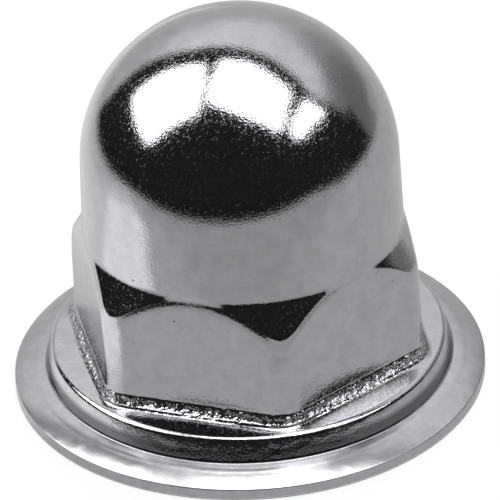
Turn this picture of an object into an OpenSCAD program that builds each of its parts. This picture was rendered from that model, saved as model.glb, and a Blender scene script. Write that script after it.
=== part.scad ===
// Domed cap nut with a collar and a wide thin washer face, made in one piece.
// Millimetres, +Z up. The nut stands on its washer face, and Z is the thread's axis.

/* [Thread] */
// Nominal diameter of the thread
thread_d = 8; // [6:0.5:9]
// Distance from one thread crest to the next
thread_pitch = 1.25; // [0.75:0.25:1.75]
// Depth of the straight bore, from the washer face to the start of the drill point
bore_depth = 11; // [8:0.5:12]
// Included angle of the drill point at the end of the bore
drill_angle = 118; // [90:2:140]
// How much wider than the thread the chamfered mouth is
mouth_extra = 0.6; // [0.2:0.1:1.5]

/* [Washer face] */
// Diameter of the washer face
flange_d = 19; // [18:0.1:21]
// Thickness of the washer face at its rim
rim_t = 0.5; // [0.4:0.02:0.8]
// Fall of its top side from the collar to the rim, in degrees
flange_slope = 19; // [17:1:22]
// Radius of the rim's two edges
rim_round = 0.06; // [0.04:0.02:0.14]

/* [Collar] */
// Diameter of the collar at its foot
collar_d = 16.4; // [16.2:0.1:16.7]
// Height of the collar's top above the washer face
collar_top = 1.93; // [1.7:0.01:2.5]
// Lean of the collar's wall towards the axis, in degrees
collar_draft = 15; // [10:1:18]
// Radius of the collar's upper edge
collar_round = 0.15; // [0.05:0.05:0.25]
// Fillet where the collar's wall runs out into the washer face
collar_fillet = 0.15; // [0.1:0.05:0.4]

/* [Hexagon] */
// Width across the flats
hex_af = 13; // [12:0.1:13.1]
// Radius of the hexagon's six upright corners
hex_round = 1.3; // [1:0.1:2]
// Fillet where the flats run out into the collar
hex_fillet = 0.45; // [0.35:0.05:0.5]

/* [Shoulder] */
// Height at which the hexagon's shoulder meets the neck
shoulder_top = 7.28; // [6:0.02:8.5]
// Lean of the shoulder towards the axis, in degrees
shoulder_slope = 30; // [30:1:45]
// Radius of the curve that leads from the corners into the shoulder
shoulder_round = 2.05; // [1.8:0.05:4]
// Fillet between the shoulder and the neck
neck_fillet = 0.6; // [0.1:0.05:1]

/* [Neck and dome] */
// How far the neck lies inside the flats, where it leaves the shoulder
neck_step = 0.08; // [0.01:0.01:0.4]
// Lean of the neck's wall towards the axis, in degrees
neck_taper = 1.2; // [0:0.2:1.6]
// Height at which the neck's wall turns into the dome
neck_top = 10.4; // [9:0.05:11.5]
// Height of the whole nut
height = 16.46; // [15.5:0.02:18]
// Angle above level at which the dome's side curve gives way to its flatter crown
dome_turn = 37; // [25:1:50]

/* [Hidden] */
$fn = 96;

plating = [0.74, 0.74, 0.75];
overlap = 0.1;
web_bite = 0.005; // how far a rounding's circle is let into the walls that it joins

// Thread: the bore has the crests' diameter, and the roots lie 5/8 of the 60 degree
// triangle's height further out
thread_depth = 5 / 8 * thread_pitch * cos(30);
bore_r = thread_d / 2 - thread_depth;
mouth_r = thread_d / 2 + mouth_extra / 2;
mouth_depth = mouth_r - bore_r;
drill_point = bore_r / tan(drill_angle / 2);

// Washer face and collar
flange_r = flange_d / 2;
collar_r = collar_d / 2;
collar_foot = rim_t + (flange_r - collar_r) * tan(flange_slope);
collar_top_r = collar_r - (collar_top - collar_foot) * tan(collar_draft);

// Hexagon: flats face +X and -X, and corners point to +Y and -Y. Each corner is an arc about
// a centre on the line through the sharp corner.
flat_r = hex_af / 2;
corner_centre = (flat_r - hex_round) / cos(30);
corner_r = corner_centre + hex_round;
flat_w = 2 * corner_centre * sin(30);

// Hexagon's foot: the fillet's arc is let a little into both walls that it joins, and at the
// corners it runs on a few degrees into the flats
foot_bite = 0.02;
foot_lap = 2;

// Shoulder: an arc, upright where it passes the corners, which it clears by a little, and
// then a cone up to the neck
shoulder_clear = 0.06;
neck_r = flat_r - neck_step;
wide_r = corner_r + shoulder_clear;
crease = [neck_r, shoulder_top];
cone_foot_x = wide_r - shoulder_round * (1 - cos(shoulder_slope));
cone_foot = [cone_foot_x, shoulder_top - (cone_foot_x - neck_r) / tan(shoulder_slope)];
shoulder_centre = cone_foot - shoulder_round * heading(shoulder_slope);

// Dome: a side arc that leaves the neck's wall smoothly, then a flatter crown arc
neck_top_r = neck_r - (neck_top - shoulder_top) * tan(neck_taper);
dome_h = height - neck_top;
crown_share = (1 - sin(dome_turn)) / cos(dome_turn);
side_r = (dome_h - neck_top_r * crown_share)
    / (sin(dome_turn) - sin(neck_taper) - (cos(neck_taper) - cos(dome_turn)) * crown_share);
crown_r = (neck_top_r - side_r * (cos(neck_taper) - cos(dome_turn))) / cos(dome_turn);
side_centre = [neck_top_r - side_r * cos(neck_taper), neck_top - side_r * sin(neck_taper)];
crown_centre = [0, height - crown_r];
dome_join = side_centre + side_r * heading(dome_turn);

function unit(v) = v / norm(v);
function heading(a) = [cos(a), sin(a)];

// The sliver between a corner at p, with sides towards a and b, and a circle of radius r
// that touches both sides and is let a little into them. Added in an inside corner it is a
// fillet, and taken away from an outside corner it leaves a round edge.
module corner_web(p, a, b, r) {
    u = unit(a - p);
    v = unit(b - p);
    half = acos(u * v) / 2;
    reach = r / tan(half);
    centre = p + unit(u + v) * (r / sin(half) - web_bite);
    difference() {
        polygon([p, p + u * reach, centre, p + v * reach]);
        translate(centre) circle(r, $fn = 48);
    }
}

// The part of a disc that lies outside the axis and between two heights
module disc_slab(centre, r, z0, z1) {
    intersection() {
        translate(centre) circle(r);
        translate([0, z0]) square([flange_d, z1 - z0]);
    }
}

// Half section of the washer face and collar
module base_section() {
    rim_foot = [flange_r, 0];
    rim_edge = [flange_r, rim_t];
    wall_foot = [collar_r, collar_foot];
    wall_edge = [collar_top_r, collar_top];
    inner = [0, collar_top];
    difference() {
        union() {
            polygon([[0, 0], rim_foot, rim_edge, wall_foot, wall_edge, inner]);
            corner_web(wall_foot, rim_edge, wall_edge, collar_fillet);
        }
        corner_web(rim_foot, [0, 0], rim_edge, rim_round);
        corner_web(rim_edge, rim_foot, wall_foot, rim_round);
        corner_web(wall_edge, wall_foot, inner, collar_round);
    }
}

// Half section that turns the hexagonal bar down to its shoulder, neck and dome
module crown_section() {
    foot = collar_top - overlap;
    wall_top = [neck_top_r, neck_top];
    polygon([[0, foot], [wide_r, foot], [wide_r, shoulder_centre.y], cone_foot, crease, wall_top,
        dome_join, [0, height - overlap]]);
    disc_slab(shoulder_centre, shoulder_round, shoulder_centre.y, cone_foot.y);
    corner_web(crease, cone_foot, wall_top, neck_fillet);
    disc_slab(side_centre, side_r, shoulder_top, dome_join.y);
    disc_slab(crown_centre, crown_r, dome_join.y, height);
}

// The hexagonal bar, with its upright corners rounded
module hex_bar(h) {
    linear_extrude(h) {
        for (k = [0:5])
            rotate(60 * k) {
                translate([-flat_r, -flat_w / 2]) square([2 * flat_r, flat_w]);
                translate(corner_centre * heading(30)) circle(hex_round);
            }
    }
}

// Section of the fillet at the hexagon's foot, drawn against an upright wall at x = 0
module foot_section() {
    centre = hex_fillet - foot_bite;
    difference() {
        translate([-overlap, -overlap]) square(hex_fillet + overlap);
        translate([centre, centre]) circle(hex_fillet, $fn = 48);
    }
}

// That fillet, along the six flats and round the six corners
module hex_foot() {
    for (k = [0:5])
        rotate([0, 0, 60 * k]) translate([0, 0, collar_top]) {
            translate([flat_r, flat_w / 2, 0]) rotate([90, 0, 0]) linear_extrude(flat_w) foot_section();
            translate([corner_centre * cos(30), corner_centre * sin(30), 0]) rotate([0, 0, -foot_lap])
                rotate_extrude(angle = 60 + 2 * foot_lap) translate([hex_round, 0]) foot_section();
        }
}

// What the drill, the countersink and the tap take out
module thread_hole() {
    translate([0, 0, -overlap]) cylinder(h = bore_depth + overlap, r = bore_r);
    translate([0, 0, bore_depth]) cylinder(h = drill_point, r1 = bore_r, r2 = 0);
    translate([0, 0, -overlap])
        cylinder(h = mouth_depth + overlap, r1 = mouth_r + overlap, r2 = bore_r);
}

module cap_nut() {
    color(plating) difference() {
        union() {
            rotate_extrude() base_section();
            intersection() {
                translate([0, 0, collar_top - overlap]) hex_bar(height);
                rotate_extrude() crown_section();
            }
            hex_foot();
        }
        thread_hole();
    }
}

cap_nut();
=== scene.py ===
from math import atan, atan2, cos, hypot, pi, radians, sin, sqrt, tan

import bmesh
import bpy
from mathutils import Matrix, Vector, noise


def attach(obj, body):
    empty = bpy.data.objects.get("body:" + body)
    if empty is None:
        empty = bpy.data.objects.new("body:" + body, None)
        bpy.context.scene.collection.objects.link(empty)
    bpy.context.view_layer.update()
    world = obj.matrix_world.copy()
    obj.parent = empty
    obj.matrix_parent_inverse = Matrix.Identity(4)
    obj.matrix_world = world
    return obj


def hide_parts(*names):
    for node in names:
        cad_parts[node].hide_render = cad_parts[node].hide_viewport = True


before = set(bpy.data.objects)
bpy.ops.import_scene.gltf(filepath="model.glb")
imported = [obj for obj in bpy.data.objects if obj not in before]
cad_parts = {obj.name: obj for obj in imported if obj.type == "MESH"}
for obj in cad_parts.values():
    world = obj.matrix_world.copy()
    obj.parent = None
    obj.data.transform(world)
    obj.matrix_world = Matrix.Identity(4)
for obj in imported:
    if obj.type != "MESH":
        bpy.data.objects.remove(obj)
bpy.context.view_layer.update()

# --- Cap nut ---------------------------------------------------------------------------------
# One piece of steel, cold formed and nickel plated: a hexagon that turns into a round neck
# and a dome, on a collar with a thin wide washer face. An M8 thread is tapped in from below.

MM = 0.001

# Washer face. Its top rises to a soft knee, and from there more gently to the collar
FLANGE_R = 9.5
FLANGE_SLOPE = radians(19)
RIM_T = 0.5
RIM_ROUND = 0.06
RIM_BULGE = 0.018
KNEE_R = 8.62
KNEE_SLOPE = radians(11)
KNEE_ROUND = 1.6

# Collar, with a ring on top that falls a little away from the hexagon
COLLAR_R = 8.24
COLLAR_TOP = 1.93
COLLAR_DRAFT = radians(17)
COLLAR_ROUND = 0.25
COLLAR_FILLET = 0.04
WALL_BULGE = 0.006
RING_FALL = radians(5.5)

# Hexagon, whose flats lean out near their foot and end in a fillet
SIDES = 6
FLAT_R = 6.5
HEX_ROUND = 1.3
HEX_FILLET = 0.45
FOOT_TURN = radians(86.5)
FOOT_GAP = 0.01
FLARE = 0.025
FLARE_TOP = 3.2

# Shoulder, neck and dome
SHOULDER_TOP = 7.28
SHOULDER_SLOPE = radians(30)
SHOULDER_ROUND = 2.05
SHOULDER_CLEAR = 0.06
EDGE_SOFT = 0.25
NECK_FILLET = 0.6
NECK_STEP = 0.03
NECK_TAPER = radians(1.2)
NECK_RUN = 1.2
NECK_TOP = 10.4
HEIGHT = 16.46
DOME_TURN = radians(37)

# Columns of the skin round the nut, closer together at the hexagon's corners
FLAT_COLUMNS = 44
CORNER_COLUMNS = 16
SIDE_COLUMNS = FLAT_COLUMNS + CORNER_COLUMNS
COLUMNS = SIDES * SIDE_COLUMNS


def along(angle):
    return Vector((cos(angle), sin(angle)))


def arc(centre, radius, start, end, steps):
    return [centre + radius * along(start + (end - start) * i / steps) for i in range(steps + 1)]


def corner(point, before, after, radius, steps):
    """An arc that rounds the corner at point, in the order that a profile passes it."""
    u, v = (before - point).normalized(), (after - point).normalized()
    half = u.angle(v) / 2
    centre = point + (u + v).normalized() * radius / sin(half)
    first = point + u * radius / tan(half) - centre
    last = point + v * radius / tan(half) - centre
    start = atan2(first.y, first.x)
    turn = (atan2(last.y, last.x) - start + pi) % (2 * pi) - pi
    return arc(centre, radius, start, start + turn, steps)


def spread(first, last, steps):
    """The points between two others, without the ends."""
    return [first.lerp(last, i / steps) for i in range(1, steps)]


def bulged(first, last, steps, bulge):
    """Spread points on a shallow curve to the right of the way from first to last."""
    out = (last - first).normalized()
    out = Vector((out.y, -out.x)) * 4 * bulge / steps / steps
    return [p + out * i * (steps - i) for i, p in enumerate(spread(first, last, steps), 1)]


corner_centre = (FLAT_R - HEX_ROUND) / cos(pi / SIDES)
corner_r = corner_centre + HEX_ROUND
flat_half = corner_centre * sin(pi / SIDES)
flat_angle = atan(flat_half / FLAT_R)


def hexagon_r(angle, out):
    """Distance from the axis to the hexagon's wall, moved out by that much."""
    off = abs((angle + pi / SIDES) % (2 * pi / SIDES) - pi / SIDES)
    if (FLAT_R + out) * tan(off) <= flat_half:
        return (FLAT_R + out) / cos(off)
    beta = pi / SIDES - off
    across = corner_centre * sin(beta)
    return corner_centre * cos(beta) + sqrt((HEX_ROUND + out) ** 2 - across ** 2)


def column_angle(column):
    side, k = divmod(column + FLAT_COLUMNS / 2, SIDE_COLUMNS)
    if k <= FLAT_COLUMNS:
        within = flat_angle * (2 * k / FLAT_COLUMNS - 1)
    else:
        corner_angle = 2 * pi / SIDES - 2 * flat_angle
        within = flat_angle + corner_angle * (k - FLAT_COLUMNS) / CORNER_COLUMNS
    return side * 2 * pi / SIDES + within


def column_of(v):
    return round(atan2(v.co.y, v.co.x) / (2 * pi) * COLUMNS)


# Profile of the washer face and collar, from the mouth of the thread outwards and up
MOUTH_R = 4.3

collar_foot = RIM_T + (FLANGE_R - COLLAR_R) * tan(FLANGE_SLOPE)
mouth = Vector((MOUTH_R, 0))
rim_foot = Vector((FLANGE_R, 0))
rim_edge = Vector((FLANGE_R, RIM_T))
knee = Vector((KNEE_R, collar_foot - (KNEE_R - COLLAR_R) * tan(KNEE_SLOPE)))
wall_foot = Vector((COLLAR_R, collar_foot))
wall_edge = Vector((COLLAR_R - (COLLAR_TOP - collar_foot) * tan(COLLAR_DRAFT), COLLAR_TOP))
under = corner(rim_foot, mouth, rim_edge, RIM_ROUND, 4)
rim = corner(rim_edge, rim_foot, knee, RIM_ROUND, 4)
bend = corner(knee, rim_edge, wall_foot, KNEE_ROUND, 6)
foot = corner(wall_foot, knee, wall_edge, COLLAR_FILLET, 8)
crest = corner(wall_edge, wall_foot, Vector((0, COLLAR_TOP)), COLLAR_ROUND, 10)
base = [mouth] + spread(mouth, under[0], 4) + under + spread(under[-1], rim[0], 3) + rim
base += bulged(rim[-1], bend[0], 8, RIM_BULGE) + bend + spread(bend[-1], foot[0], 3) + foot
base += bulged(foot[-1], crest[0], 8, WALL_BULGE) + crest

# Profile of the shoulder, its fillet and the foot of the neck, as a lathe would turn it
neck_r = FLAT_R - NECK_STEP
wide_r = corner_r + SHOULDER_CLEAR
neck_foot = Vector((neck_r, SHOULDER_TOP))
neck_end = neck_foot + NECK_RUN * along(pi / 2 + NECK_TAPER)
shoulder_foot = Vector((wide_r, SHOULDER_TOP - (wide_r - neck_r) / tan(SHOULDER_SLOPE)))
bar_side = Vector((wide_r, COLLAR_TOP))
neck_run = corner(shoulder_foot, bar_side, neck_foot, SHOULDER_ROUND, 90)
neck_run += corner(neck_foot, shoulder_foot, neck_end, NECK_FILLET, 40)
neck_run += spread(neck_run[-1], neck_end, 24)
run_lengths = [0.0]
for a, b in zip(neck_run, neck_run[1:]):
    run_lengths.append(run_lengths[-1] + (b - a).length)


def on_run(length):
    for k in range(1, len(neck_run)):
        if run_lengths[k] >= length:
            part = (length - run_lengths[k - 1]) / (run_lengths[k] - run_lengths[k - 1])
            return neck_run[k - 1].lerp(neck_run[k], part)
    return neck_run[-1]


def run_start(radius):
    """How far along the run the shoulder comes in to that radius."""
    for k in range(1, len(neck_run)):
        a, b = neck_run[k - 1].x, neck_run[k].x
        if b <= radius < a:
            part = (a - radius) / (a - b)
            return run_lengths[k - 1] + part * (run_lengths[k] - run_lengths[k - 1])
    return 0.0


def turned_r(height):
    """Radius of the shoulder and neck at that height, wider again below the shoulder."""
    if height <= neck_run[0].y:
        return neck_run[0].x + (neck_run[0].y - height) / 2
    for a, b in zip(neck_run, neck_run[1:]):
        if height <= b.y:
            return a.x + (b.x - a.x) * (height - a.y) / max(b.y - a.y, 1e-9)
    return neck_run[-1].x


# Profile of the neck and dome: a side arc that leaves the neck smoothly, then a flatter crown
neck_top_r = neck_r - (NECK_TOP - SHOULDER_TOP) * tan(NECK_TAPER)
crown_share = (1 - sin(DOME_TURN)) / cos(DOME_TURN)
side_r = (HEIGHT - NECK_TOP - neck_top_r * crown_share) / (
    sin(DOME_TURN) - sin(NECK_TAPER) - (cos(NECK_TAPER) - cos(DOME_TURN)) * crown_share)
crown_r = (neck_top_r - side_r * (cos(NECK_TAPER) - cos(DOME_TURN))) / cos(DOME_TURN)
side_centre = Vector((neck_top_r, NECK_TOP)) - side_r * along(NECK_TAPER)
dome = spread(neck_run[-1], Vector((neck_top_r, NECK_TOP)), 10)
dome += arc(side_centre, side_r, NECK_TAPER, DOME_TURN, 24)
dome += arc(Vector((0, HEIGHT - crown_r)), crown_r, DOME_TURN, pi / 2, 36)[1:]

# Rows of the skin, from the mouth of the thread up to the top of the dome
RING_ROWS = 6
FOOT_ROWS = 8
FLAT_ROWS = 26
FLAT_CROWDING = 1.7
RUN_ROWS = 54

first_ring = len(base)
first_foot = first_ring + RING_ROWS
first_flat = first_foot + FOOT_ROWS
first_run = first_flat + FLAT_ROWS
first_dome = first_run + RUN_ROWS
ROWS = first_dome + len(dome)


def flare(height):
    """How far the flats lean out near their foot."""
    return FLARE * max((FLARE_TOP - height) / (FLARE_TOP - COLLAR_TOP - HEX_FILLET), 0) ** 2


RIPPLE = 0.006
RIPPLE_FADE = 0.2
RIPPLES_PER_MM = 2


def ripple(point, angle):
    """Small waves that the die left in the collar's wall."""
    if point.x >= COLLAR_R:
        return 0.0
    inside_wall = min(point.y - collar_foot, COLLAR_TOP - point.y)
    share = min(max(inside_wall / RIPPLE_FADE, 0), 1)
    place = Vector((point.x * cos(angle), point.x * sin(angle), 2 * point.y)) * RIPPLES_PER_MM
    return RIPPLE * share * noise.noise(place)


def foot_point(angle, turn):
    """A point of the fillet at the hexagon's foot, which stays inside the collar's edge."""
    lowest = COLLAR_TOP + (base[-1].x - hexagon_r(angle, HEX_FILLET)) * tan(RING_FALL)
    height = lowest + (COLLAR_TOP + HEX_FILLET - lowest) * (1 - cos(turn))
    reach = hexagon_r(angle, HEX_FILLET * (1 - sin(turn)) + flare(height))
    return Vector((min(reach, base[-1].x - FOOT_GAP), height))


def soft_min(a, b, soft):
    near = max(soft - abs(a - b), 0) / soft
    return min(a, b) - near * near * soft / 4


OPENING = 1.5


def outside(row, angle):
    """Radius and height of the skin at that row and angle. Above the edge where the lathe's
    cut ends a flat, the hexagon's wall opens out, and the turned shoulder and neck are left."""
    if row < first_ring:
        return base[row] + Vector((ripple(base[row], angle), 0))
    if row < first_foot:
        return base[-1].lerp(foot_point(angle, 0), (row - first_ring + 1) / RING_ROWS)
    if row < first_flat:
        return foot_point(angle, FOOT_TURN * (row - first_foot + 1) / FOOT_ROWS)
    if row >= first_dome:
        return dome[row - first_dome]
    start = run_start(hexagon_r(angle, 0))
    edge = on_run(start)
    if row < first_run:
        step = (row - first_flat + 1) / FLAT_ROWS
        flat_foot = COLLAR_TOP + HEX_FILLET
        height = flat_foot + (edge.y - flat_foot) * (1 - (1 - step) ** FLAT_CROWDING)
    else:
        step = (row - first_run + 1) / RUN_ROWS
        height = on_run(start + (run_lengths[-1] - start) * step).y
    wall = hexagon_r(angle, flare(height)) + OPENING * max(height - edge.y, 0) ** 2
    return Vector((soft_min(wall, turned_r(height), EDGE_SOFT), height))


def spin_round(mesh, points, rise=0.0):
    """Spins a chain of vertices once about the nut's axis, with a step for each column."""
    chain = [mesh.edges.new(pair) for pair in zip(points, points[1:])]
    bmesh.ops.spin(mesh, geom=points + chain, cent=(0, 0, 0), axis=(0, 0, 1), angle=2 * pi,
                   dvec=(0, 0, rise / COLUMNS), steps=COLUMNS, use_merge=rise == 0)


nut_mesh = bmesh.new()
row_of = nut_mesh.verts.layers.int.new("row")
skin = [nut_mesh.verts.new((1, 0, row)) for row in range(ROWS)]
for row, v in enumerate(skin):
    v[row_of] = row + 1
spin_round(nut_mesh, skin)
for v in nut_mesh.verts:
    angle = column_angle(column_of(v))
    r, z = outside(v[row_of] - 1, angle)
    v.co = Vector((r * cos(angle), r * sin(angle), z)) * MM

# Thread: crests a quarter of the pitch wide at the bore, roots an eighth of it wide
THREAD_R = 4.0
THREAD_PITCH = 1.25
THREAD_END = 9.6
THREAD_FADE = 1.0
THREAD_TURNS = 10
FORM = ((0.0, 0.0), (1 / 4, 0.0), (9 / 16, 1.0), (11 / 16, 1.0))
BORE_JOIN = 10.2
BORE_DEPTH = 11.0
DRILL_ANGLE = radians(118)

thread_depth = 5 / 8 * THREAD_PITCH * cos(pi / 6)
bore_r = THREAD_R - thread_depth


def inside(part, height):
    """Radius of the tapped bore at that part of a turn's form, with its chamfered mouth."""
    depth = 0.0
    points = FORM + ((1.0, 0.0),)
    for (a, da), (b, db) in zip(points, points[1:]):
        if a <= part <= b:
            depth = da + (db - da) * (part - a) / (b - a)
    fade = min(max((THREAD_END - height) / THREAD_FADE, 0), 1)
    return max(bore_r + thread_depth * depth * fade, MOUTH_R - height)


tap_mesh = bmesh.new()
form_of = tap_mesh.verts.layers.float.new("form")
tap = []
for turn in range(THREAD_TURNS):
    for part, depth in FORM:
        v = tap_mesh.verts.new((1, 0, (turn + part - 1) * THREAD_PITCH))
        v[form_of] = part
        tap.append(v)
spin_round(tap_mesh, tap, THREAD_PITCH)
for v in tap_mesh.verts:
    column = column_of(v)
    angle = column_angle(column)
    z = v.co.z + THREAD_PITCH * (angle / (2 * pi) - column / COLUMNS)
    z = min(max(z, 0), BORE_JOIN)
    r = inside(v[form_of], z)
    v.co = Vector((r * cos(angle), r * sin(angle), z)) * MM

# End of the drilled hole
drill_mesh = bmesh.new()
point_h = bore_r / tan(DRILL_ANGLE / 2)
cone = [(bore_r, BORE_JOIN), (bore_r, BORE_DEPTH), (bore_r / 2, BORE_DEPTH + point_h / 2),
        (0, BORE_DEPTH + point_h)]
spin_round(drill_mesh, [drill_mesh.verts.new((r, 0, z)) for r, z in cone])
for v in drill_mesh.verts:
    angle = column_angle(column_of(v))
    r = hypot(v.co.x, v.co.y)
    v.co = Vector((r * cos(angle), r * sin(angle), v.co.z)) * MM

# The three meshes become one closed skin
WELD = 0.0005
SHARP = radians(30)

for part_mesh in (drill_mesh, tap_mesh):
    spare = bpy.data.meshes.new("spare")
    part_mesh.to_mesh(spare)
    part_mesh.free()
    nut_mesh.from_mesh(spare)
    bpy.data.meshes.remove(spare)
bmesh.ops.remove_doubles(nut_mesh, verts=nut_mesh.verts, dist=WELD * MM)
bmesh.ops.recalc_face_normals(nut_mesh, faces=nut_mesh.faces)
for face in nut_mesh.faces:
    face.smooth = True
for edge in nut_mesh.edges:
    if len(edge.link_faces) == 2 and edge.calc_face_angle(0) > SHARP:
        edge.smooth = False


def piece(name, mesh):
    data = bpy.data.meshes.new(name)
    mesh.to_mesh(data)
    mesh.free()
    obj = bpy.data.objects.new(name, data)
    bpy.context.scene.collection.objects.link(obj)
    return obj


nut = piece("cap_nut_body", nut_mesh)


def colour(code):
    """Linear RGBA of an sRGB hex value."""
    parts = [int(code[i:i + 2], 16) / 255 for i in (1, 3, 5)]
    return [c / 12.92 if c <= 0.04045 else ((c + 0.055) / 1.055) ** 2.4 for c in parts] + [1.0]


def add(tree, kind, settings=None, links=None):
    """A new node, with its properties and socket values set and its inputs linked."""
    node = tree.nodes.new("ShaderNode" + kind)
    for key, value in (settings or {}).items():
        if isinstance(key, str) and hasattr(node, key) and key not in node.inputs:
            setattr(node, key, value)
        else:
            node.inputs[key].default_value = value
    for key, source in (links or {}).items():
        socket = source.outputs[0] if isinstance(source, bpy.types.Node) else source
        tree.links.new(socket, node.inputs[key])
    return node


def material(name):
    made = bpy.data.materials.new(name)
    made.use_nodes = True
    made.node_tree.nodes.clear()
    return made, made.node_tree


# Heights at which each finish, and the painted shade on the collar's wall, begins to show, and at
# which it is full
SATIN_START = 1.05
SATIN_FULL = 0.95
TORN_START = 2.01
TORN_FULL = 2.08
TORN_FADE = 2.3
TORN_END = 2.55
# Where the painted shade darkens the foot of the collar's wall
WALL_SHADE_START = 1.6
WALL_SHADE_FULL = 1.3

plating, tree = material("bright_nickel_plate")
place = add(tree, "TexCoord").outputs["Object"]
height = add(tree, "SeparateXYZ", links={0: place}).outputs["Z"]

# Gives the eye the satin washer face, which wasn't polished as the rest was
satin = add(tree, "MapRange", {"interpolation_type": "SMOOTHSTEP", 1: SATIN_START * MM,
                               2: SATIN_FULL * MM}, {0: height})

# Gives the eye the orange peel that breaks up the edges of reflections, fainter on the satin
peel = add(tree, "TexNoise", {"Scale": 1 / (0.09 * MM), "Detail": 2.0, "Roughness": 0.5},
           {"Vector": place})
peeled = add(tree, "MapRange", {3: 1.0, 4: 0.3}, {0: satin})
peel = add(tree, "Math", {"operation": "MULTIPLY"}, {0: peel, 1: peeled})
normal = add(tree, "Bump", {"Strength": 1.0, "Distance": 0.006 * MM}, {"Height": peel})

# Gives the eye the torn, glittering metal where the die pressed the hexagon's foot
above = add(tree, "MapRange", {1: TORN_START * MM, 2: TORN_FULL * MM}, {0: height})
below = add(tree, "MapRange", {"interpolation_type": "SMOOTHSTEP", 1: TORN_END * MM,
                               2: TORN_FADE * MM}, {0: height})
torn = add(tree, "Math", {"operation": "MULTIPLY"}, {0: above, 1: below})
tear = add(tree, "TexNoise", {"Scale": 1 / (0.26 * MM), "Detail": 2.0, "Roughness": 0.5},
           {"Vector": place})
tear = add(tree, "Math", {"operation": "MULTIPLY"}, {0: tear, 1: torn})
normal = add(tree, "Bump", {"Strength": 1.0, "Distance": 0.15 * MM},
             {"Height": tear, "Normal": normal})

# Gives the eye the slight waves of the thin washer face, which its highlights follow
wave = add(tree, "TexNoise", {"Scale": 1 / (1.6 * MM), "Detail": 2.0, "Roughness": 0.5},
           {"Vector": place})
wave = add(tree, "Math", {"operation": "MULTIPLY"}, {0: wave, 1: satin})
normal = add(tree, "Bump", {"Strength": 1.0, "Distance": 0.03 * MM},
             {"Height": wave, "Normal": normal})

# Gives the eye the specks of dull plating that make a black reflection look grainy. They are
# drawn coarser than they are, so that they show
speck = add(tree, "TexNoise", {"Scale": 1 / (0.13 * MM), "Detail": 1.0, "Roughness": 0.5},
            {"Vector": place})
speck = add(tree, "MapRange", {1: 0.5, 2: 0.78, 3: 0.0, 4: 0.2}, {0: speck})
speck = add(tree, "Math", {"operation": "SUBTRACT", "use_clamp": True}, {0: speck, 1: satin})
rough = add(tree, "MapRange", {3: 0.08, 4: 0.24}, {0: satin})
rough = add(tree, "Math", {"operation": "ADD"}, {0: rough, 1: speck})
rough = add(tree, "Math", {"operation": "MULTIPLY_ADD", 1: 0.08}, {0: torn, 2: rough})

# Gives the eye the faint clouds in the plating, and a few dark pits
cloud = add(tree, "TexNoise", {"Scale": 1 / (0.7 * MM), "Detail": 5.0, "Roughness": 0.65},
            {"Vector": place})
cloud = add(tree, "MapRange", {1: 0.35, 2: 0.65}, {0: cloud})
tone = add(tree, "Mix", {"data_type": "RGBA", 6: colour("#B4B4B6"), 7: colour("#C0C0C2")},
           {0: cloud}).outputs[2]
pit = add(tree, "TexVoronoi", {"Scale": 1 / (1.3 * MM)}, {"Vector": place}).outputs
chance = add(tree, "SeparateColor", links={0: pit["Color"]})
chosen = add(tree, "Math", {"operation": "GREATER_THAN", 1: 0.8}, {0: chance})
pitted = add(tree, "MapRange", {1: 0.03, 2: 0.06, 3: 0.8, 4: 0.0}, {0: pit["Distance"]})
pitted = add(tree, "Math", {"operation": "MULTIPLY"}, {0: chosen, 1: pitted})
tone = add(tree, "Mix", {"data_type": "RGBA", 7: colour("#303030")},
           {0: pitted, 6: tone}).outputs[2]

# Gives the eye painted shade at the foot of the collar's wall: a darker colour that stands in for
# the shade where the wall meets the washer face
wall_shade = add(tree, "MapRange", {"interpolation_type": "SMOOTHSTEP", 1: WALL_SHADE_START * MM,
                              2: WALL_SHADE_FULL * MM}, {0: height})
wall_shade = add(tree, "Math", {"operation": "SUBTRACT", "use_clamp": True}, {0: wall_shade, 1: satin})
tone = add(tree, "Mix", {"data_type": "RGBA", 7: colour("#6C6C6E")},
           {0: wall_shade, 6: tone}).outputs[2]

metal = add(tree, "BsdfPrincipled", {"Metallic": 1.0},
            {"Base Color": tone, "Roughness": rough, "Normal": normal})
add(tree, "OutputMaterial", links={"Surface": metal})
nut.data.materials.append(plating)

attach(nut, "root")
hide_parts("cap_nut")

# --- Floor -----------------------------------------------------------------------------------
# A plain white table top that the nut stands on, wide enough to run out of view. It is matt,
# and it keeps the nut's shadow.

FLOOR_SIZE = 3.0

floor_mesh = bmesh.new()
bmesh.ops.create_grid(floor_mesh, x_segments=1, y_segments=1, size=FLOOR_SIZE / 2)
floor = piece("floor", floor_mesh)
# Gives the eye a plain white that is only a little darker close to the nut
table_top, tree = material("white_table")
rays = add(tree, "LightPath")
matt = add(tree, "BsdfDiffuse", {"Color": colour("#E6E6E6")})
white = add(tree, "Emission", {"Color": colour("#FFFFFF"), "Strength": 1.0})
seen = add(tree, "MixShader", {0: 0.85}, {1: matt, 2: white})
both = add(tree, "MixShader", links={0: rays.outputs["Is Camera Ray"], 1: matt, 2: seen})
add(tree, "OutputMaterial", links={"Surface": both})
floor.data.materials.append(table_top)

# --- Soft boxes and black cloth --------------------------------------------------------------
# Three soft boxes in a row overhead, in a black ceiling, with a black curtain below it on the
# camera's side. Only the nut's reflections see them.

CAMERA_TURN = radians(-10.5)
DOME_H = 15
BOX_H = 400
CEILING_H = 420
WALL_R = 1.6
WALL_FOOT = -1
WALL_ROW = 3
WALL_COLUMNS = 60


def aim(side, up, distance):
    """A point that far from the dome, so many degrees to the side of the camera and up."""
    turn = radians(side) + CAMERA_TURN
    level = cos(radians(up))
    out = Vector((sin(turn) * level, -cos(turn) * level, sin(radians(up))))
    return out * distance + Vector((0, 0, DOME_H * MM))


def reflected_only(obj, finish):
    obj.data.materials.append(finish)
    obj.visible_camera = obj.visible_diffuse = obj.visible_shadow = False
    obj.visible_transmission = False


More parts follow.
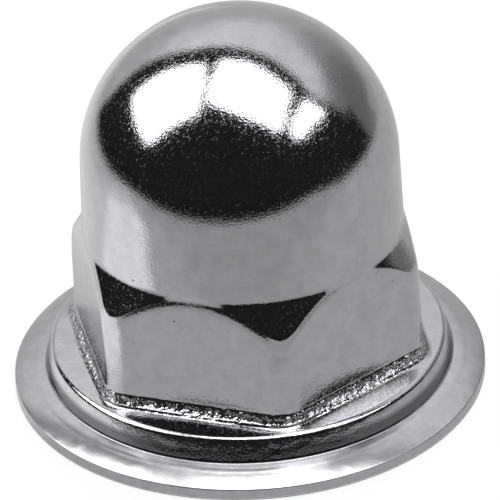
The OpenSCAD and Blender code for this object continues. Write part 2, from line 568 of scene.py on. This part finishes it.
def ceiling_panel(name, corners, height, finish):
    """A flat panel, with each corner's turn from the camera's side and rise in degrees."""
    mesh = bmesh.new()
    rise = (height - DOME_H) * MM
    mesh.faces.new([mesh.verts.new(aim(side, up, rise / sin(radians(up)))) for side, up in corners])
    reflected_only(piece(name, mesh), finish)


def round_wall(name, distance, start, turn, top, finish):
    """A wall round the table, whose top is that many degrees up as seen from the dome."""
    mesh = bmesh.new()
    hem = [mesh.verts.new(aim(start, up, distance)) for up in range(WALL_FOOT, top + 1, WALL_ROW)]
    chain = [mesh.edges.new(pair) for pair in zip(hem, hem[1:])]
    bmesh.ops.spin(mesh, geom=hem + chain, cent=(0, 0, 0), axis=(0, 0, 1), angle=radians(turn),
                   steps=WALL_COLUMNS)
    reflected_only(piece(name, mesh), finish)


# Gives the eye windows of clean white in the dome
box_cloth, tree = material("soft_box_cloth")
light = add(tree, "Emission", {"Color": colour("#FFFFFF"), "Strength": 3.8})
add(tree, "OutputMaterial", links={"Surface": light})

# Gives the eye a cloth whose pile lies unevenly, so that its black isn't flat
velvet, tree = material("black_velvet")
place = add(tree, "TexCoord").outputs["Object"]
pile = add(tree, "TexNoise", {"Scale": 1 / (60 * MM), "Detail": 3.0, "Roughness": 0.6},
           {"Vector": place})
pile = add(tree, "MapRange", {1: 0.35, 2: 0.7}, {0: pile})
cloth = add(tree, "Mix", {"data_type": "RGBA", 6: colour("#121212"), 7: colour("#363636")},
            {0: pile})
light = add(tree, "Emission", links={"Color": cloth.outputs[2]})
add(tree, "OutputMaterial", links={"Surface": light})

LEFT_BOX = [(-119, 22), (-79, 21), (-73, 36), (-57, 58), (-97, 70), (-140, 64), (-127, 42)]
MIDDLE_BOX = [(-160, 68), (-100, 74), (-60, 67), (-22, 69), (12, 63), (43, 44.5), (90, 56),
              (111, 67), (150, 71)]
RIGHT_BOX = [(56, 45), (51, 37), (59, 33), (71, 35), (90, 31), (89, 46)]
CEILING = [(-137, 14), (-90, 12), (-30, 12), (30, 12), (75, 12), (102, 18), (97, 33), (98, 44),
           (116, 54), (138, 59), (168, 60), (-166, 55), (-149, 46), (-142, 32)]

ceiling_panel("soft_box_left", LEFT_BOX, BOX_H, box_cloth)
ceiling_panel("soft_box_middle", MIDDLE_BOX, BOX_H, box_cloth)
ceiling_panel("soft_box_right", RIGHT_BOX, BOX_H, box_cloth)
ceiling_panel("black_ceiling", CEILING, CEILING_H, velvet)
round_wall("black_curtain", WALL_R, start=-136, turn=245, top=17, finish=velvet)

# --- Backdrop --------------------------------------------------------------------------------
# A roll of grey paper hung round the far side of the table, lit from above. Only the nut's
# reflections see it.

SIDEWAYS = (1, 0, 0)
BACKWARDS = (0, 1, 0)
UPWARDS = (0, 0, 1)


def gradients(tree, unit, rows):
    """Named levels on a surface. Each goes smoothly from one value to another between two
    distances along a direction, as the camera sees it."""
    place = add(tree, "TexCoord").outputs["Object"]
    place = add(tree, "Mapping", {"Rotation": (0, 0, -CAMERA_TURN)}, {"Vector": place})
    levels = {}
    for name, (direction, start, end, at_start, at_end) in rows.items():
        reach = add(tree, "VectorMath", {"operation": "DOT_PRODUCT", 1: direction}, {0: place})
        ends = {1: start * unit, 2: end * unit, 3: at_start, 4: at_end}
        levels[name] = add(tree, "MapRange", {"interpolation_type": "SMOOTHSTEP", **ends},
                           {0: reach.outputs["Value"]})
    return levels


# Gives the eye a backdrop that is brightest high up and falls off to the right
paper, tree = material("grey_backdrop")
levels = gradients(tree, WALL_R, {
    "rise": (UPWARDS, 0.25, 0.7, 0.62, 1.07),
    "right": (SIDEWAYS, 0.15, 0.85, 1.0, 0.35),
    "top": (UPWARDS, 0.4, 0.68, 0.0, 0.9),
})
level = add(tree, "Math", {"operation": "MAXIMUM"}, {0: levels["right"], 1: levels["top"]})
level = add(tree, "Math", {"operation": "MULTIPLY"}, {0: levels["rise"], 1: level})
light = add(tree, "Emission", links={"Strength": level})
add(tree, "OutputMaterial", links={"Surface": light})
round_wall("backdrop_paper", 1.05 * WALL_R, start=85, turn=145, top=77, finish=paper)

# --- Light on the table ----------------------------------------------------------------------
# What the nut's reflections see of the table top: a pool of light, brightest on the left and
# fading to black in front.

POOL_LIFT = 0.1

pool, tree = material("lit_table")
levels = gradients(tree, MM, {
    "front": (BACKWARDS, -22, -12, 0.5, 0.6),
    "left": (SIDEWAYS, -12, -8, 1.0, 0.0),
    "far_left": (SIDEWAYS, -42, -22, 0.1, 0.3),
    "beside": (BACKWARDS, -10.2, -9.2, 0.0, 1.0),
    "patch": (BACKWARDS, 2, 5, 1.1, 0.0),
    "near_left": (SIDEWAYS, -80, -50, 0.0, 1.0),
    "near_right": (SIDEWAYS, 60, 135, 1.0, 0.0),
    "near_front": ((0.4, 1, 0), -54, -38, 0.0, 1.0),
    "behind_left": ((-0.7, 1, 0), -15, 15, 0.0, 0.8),
    "behind": ((-0.36, 1, 0), -15, 15, 0.0, 0.45),
    "behind_right": ((1.05, 1, 0), -10, 10, 0.0, 1.0),
})
STEPS = (
    ("left", "MULTIPLY", "left", "far_left"),
    ("left", "MULTIPLY", "left", "beside"),
    ("patch", "MULTIPLY", "left", "patch"),
    ("bright", "ADD", "front", "left"),
    ("bright", "ADD", "bright", "patch"),
    ("near", "MULTIPLY", "near_left", "near_right"),
    ("near", "MULTIPLY", "near", "near_front"),
    ("behind", "MAXIMUM", "behind_left", "behind"),
    ("behind", "MINIMUM", "behind", "behind_right"),
    ("lit", "MAXIMUM", "near", "behind"),
    ("lit", "MULTIPLY", "bright", "lit"),
)
for result, operation, first, second in STEPS:
    levels[result] = add(tree, "Math", {"operation": operation},
                         {0: levels[first], 1: levels[second]})
level = add(tree, "Math", {"operation": "MAXIMUM", 1: 0.016}, {0: levels["lit"]})
light = add(tree, "Emission", links={"Strength": level})
add(tree, "OutputMaterial", links={"Surface": light})
pool_mesh = bmesh.new()
bmesh.ops.create_grid(pool_mesh, x_segments=1, y_segments=1, size=1.2 * WALL_R)
bmesh.ops.translate(pool_mesh, verts=pool_mesh.verts, vec=(0, 0, POOL_LIFT * MM))
reflected_only(piece("lit_table", pool_mesh), pool)

# --- Lamp and room light ---------------------------------------------------------------------
# One large soft lamp overhead casts the nut's shadow, and an even room light fills it. The
# room looks plain white to the camera.

key = bpy.data.lights.new("key", "AREA")
key.energy = 7.0
key.size = 0.8
lamp = bpy.data.objects.new("key", key)
lamp.location = (0.1, 0.2, 1.0)
lamp.rotation_euler = (Vector((0, 0, 1)).rotation_difference(lamp.location)).to_euler()
lamp.visible_glossy = False
bpy.context.scene.collection.objects.link(lamp)

world = bpy.data.worlds.new("room")
bpy.context.scene.world = world
world.use_nodes = True
tree = world.node_tree
tree.nodes.clear()
rays = add(tree, "LightPath").outputs
dim = add(tree, "Background", {"Color": colour("#FFFFFF"), "Strength": 0.9})
soft = add(tree, "Background", {"Color": colour("#FFFFFF"), "Strength": 0.8})
white = add(tree, "Background", {"Color": colour("#FFFFFF"), "Strength": 1.0})
room = add(tree, "MixShader", links={0: rays["Is Glossy Ray"], 1: dim, 2: soft})
room = add(tree, "MixShader", links={0: rays["Is Camera Ray"], 1: room, 2: white})
add(tree, "OutputWorld", links={"Surface": room})

# --- Camera ----------------------------------------------------------------------------------
# A long lens, a little over half a metre off and 32 degrees above the table. It is turned a
# little, so that one corner of the hexagon comes to the front.

CAMERA_UP = radians(32.12)
CAMERA_ROLL = radians(-2.83)
CAMERA_FAR = 571.02 * MM
LOOK_AT = Vector((0.247, 0, 5.786)) * MM

forward = Vector((0, cos(CAMERA_UP), -sin(CAMERA_UP)))
right = Vector((1, 0, 0))
upward = right.cross(forward)
right, upward = (cos(CAMERA_ROLL) * right + sin(CAMERA_ROLL) * upward,
                 cos(CAMERA_ROLL) * upward - sin(CAMERA_ROLL) * right)
turned = Matrix((right, upward, -forward)).transposed().to_4x4()
turned.translation = LOOK_AT - forward * CAMERA_FAR
lens = bpy.data.cameras.new("camera")
lens.sensor_width = 36
lens.lens = 1022.7
lens.clip_start = 0.01
lens.shift_x = -0.001
lens.shift_y = 0.001
camera = bpy.data.objects.new("camera", lens)
camera.matrix_world = Matrix.Rotation(CAMERA_TURN, 4, "Z") @ turned
bpy.context.scene.collection.objects.link(camera)
bpy.context.scene.camera = camera

bpy.context.scene.view_settings.view_transform = "Standard"
